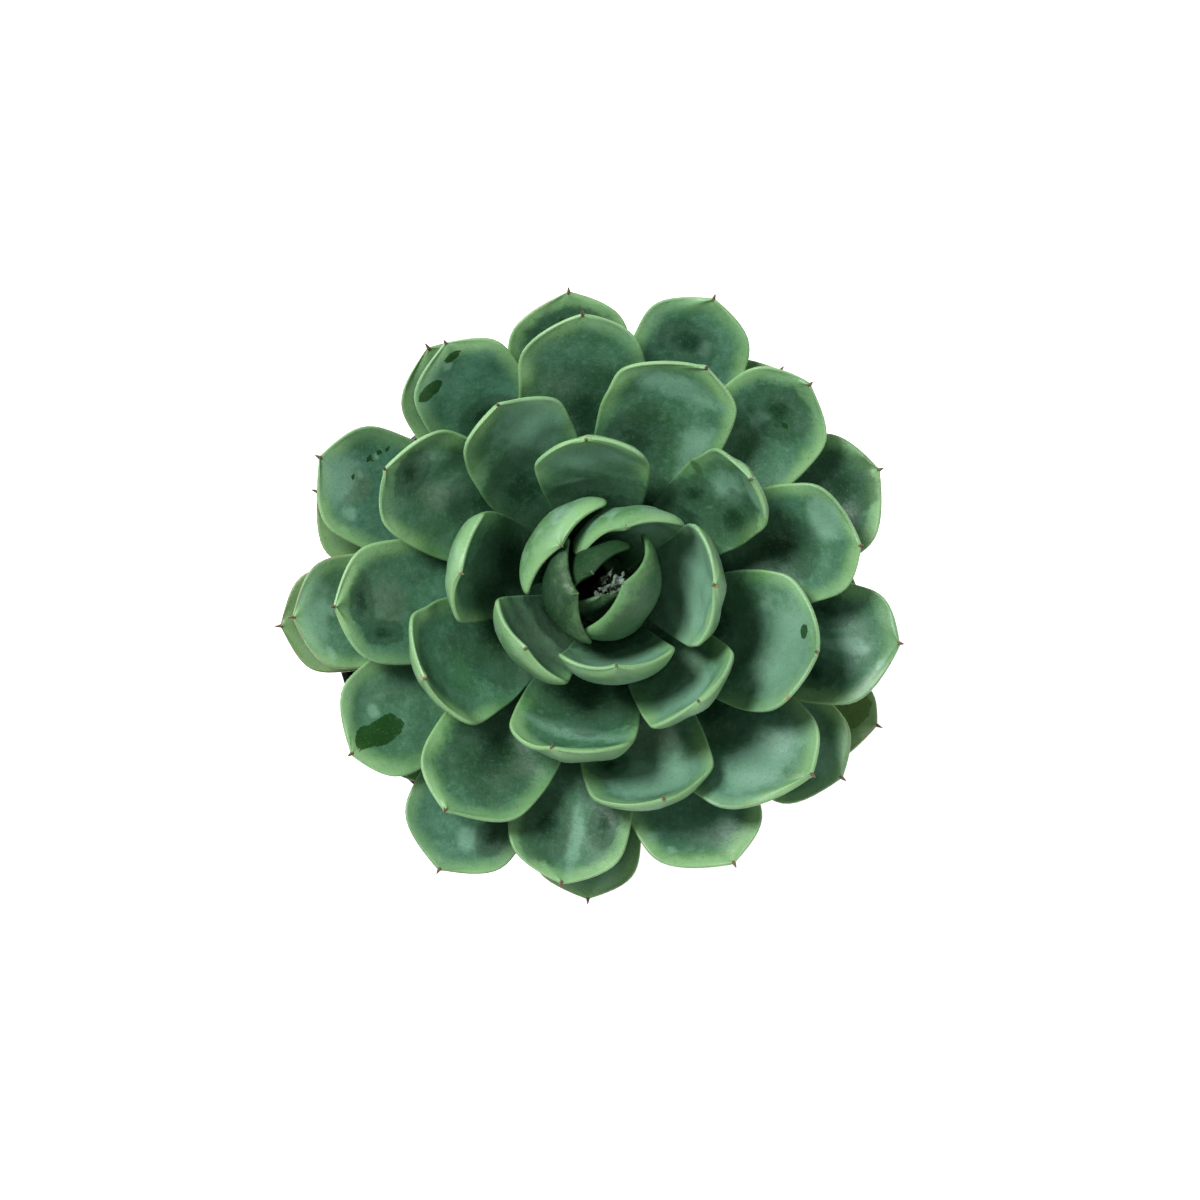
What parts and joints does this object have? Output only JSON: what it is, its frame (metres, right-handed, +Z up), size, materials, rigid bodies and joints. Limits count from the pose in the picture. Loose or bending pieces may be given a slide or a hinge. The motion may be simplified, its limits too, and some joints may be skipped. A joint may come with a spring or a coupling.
{
  "type": "potted succulent",
  "caption": "A rosette of thick, cupped blue-green leaves on a short stem, growing in potting mix in a thin round black grower's pot with a rim band and drain holes",
  "frame": {"origin": "the centre of the pot's flat base, on the surface that it stands on", "axes": "+Z is up along the pot's axis; +Y is the top of the plant as it is seen from straight above, and +X is to the right of it"},
  "size_m": [0.0719, 0.0704, 0.0779],
  "materials": {
    "pot": "satin",
    "soil": "matte",
    "stem": "matte",
    "leaf": "satin"
  },
  "bodies": {
    "root": {"pot": "pot", "soil": "soil", "stem": "stem", "leaf_01": "leaf", "leaf_02": "leaf", "leaf_03": "leaf", "leaf_04": "leaf", "leaf_05": "leaf", "leaf_06": "leaf", "leaf_07": "leaf", "leaf_08": "leaf", "leaf_09": "leaf", "leaf_10": "leaf", "leaf_11": "leaf", "leaf_12": "leaf", "leaf_13": "leaf", "leaf_14": "leaf", "leaf_15": "leaf", "leaf_16": "leaf", "leaf_17": "leaf", "leaf_18": "leaf", "leaf_19": "leaf", "leaf_20": "leaf", "leaf_21": "leaf", "leaf_22": "leaf", "leaf_23": "leaf", "leaf_24": "leaf", "leaf_25": "leaf", "leaf_26": "leaf", "leaf_27": "leaf", "leaf_28": "leaf", "leaf_29": "leaf", "leaf_30": "leaf", "leaf_31": "leaf", "leaf_32": "leaf", "leaf_33": "leaf", "leaf_34": "leaf", "leaf_35": "leaf", "leaf_36": "leaf", "leaf_37": "leaf", "leaf_38": "leaf", "leaf_39": "leaf", "leaf_40": "leaf", "leaf_41": "leaf", "leaf_42": "leaf", "leaf_43": "leaf", "leaf_44": "leaf", "leaf_45": "leaf", "leaf_46": "leaf", "leaf_47": "leaf", "leaf_48": "leaf", "leaf_49": "leaf", "leaf_50": "leaf", "leaf_51": "leaf", "leaf_52": "leaf"}
  },
  "joints": []
}
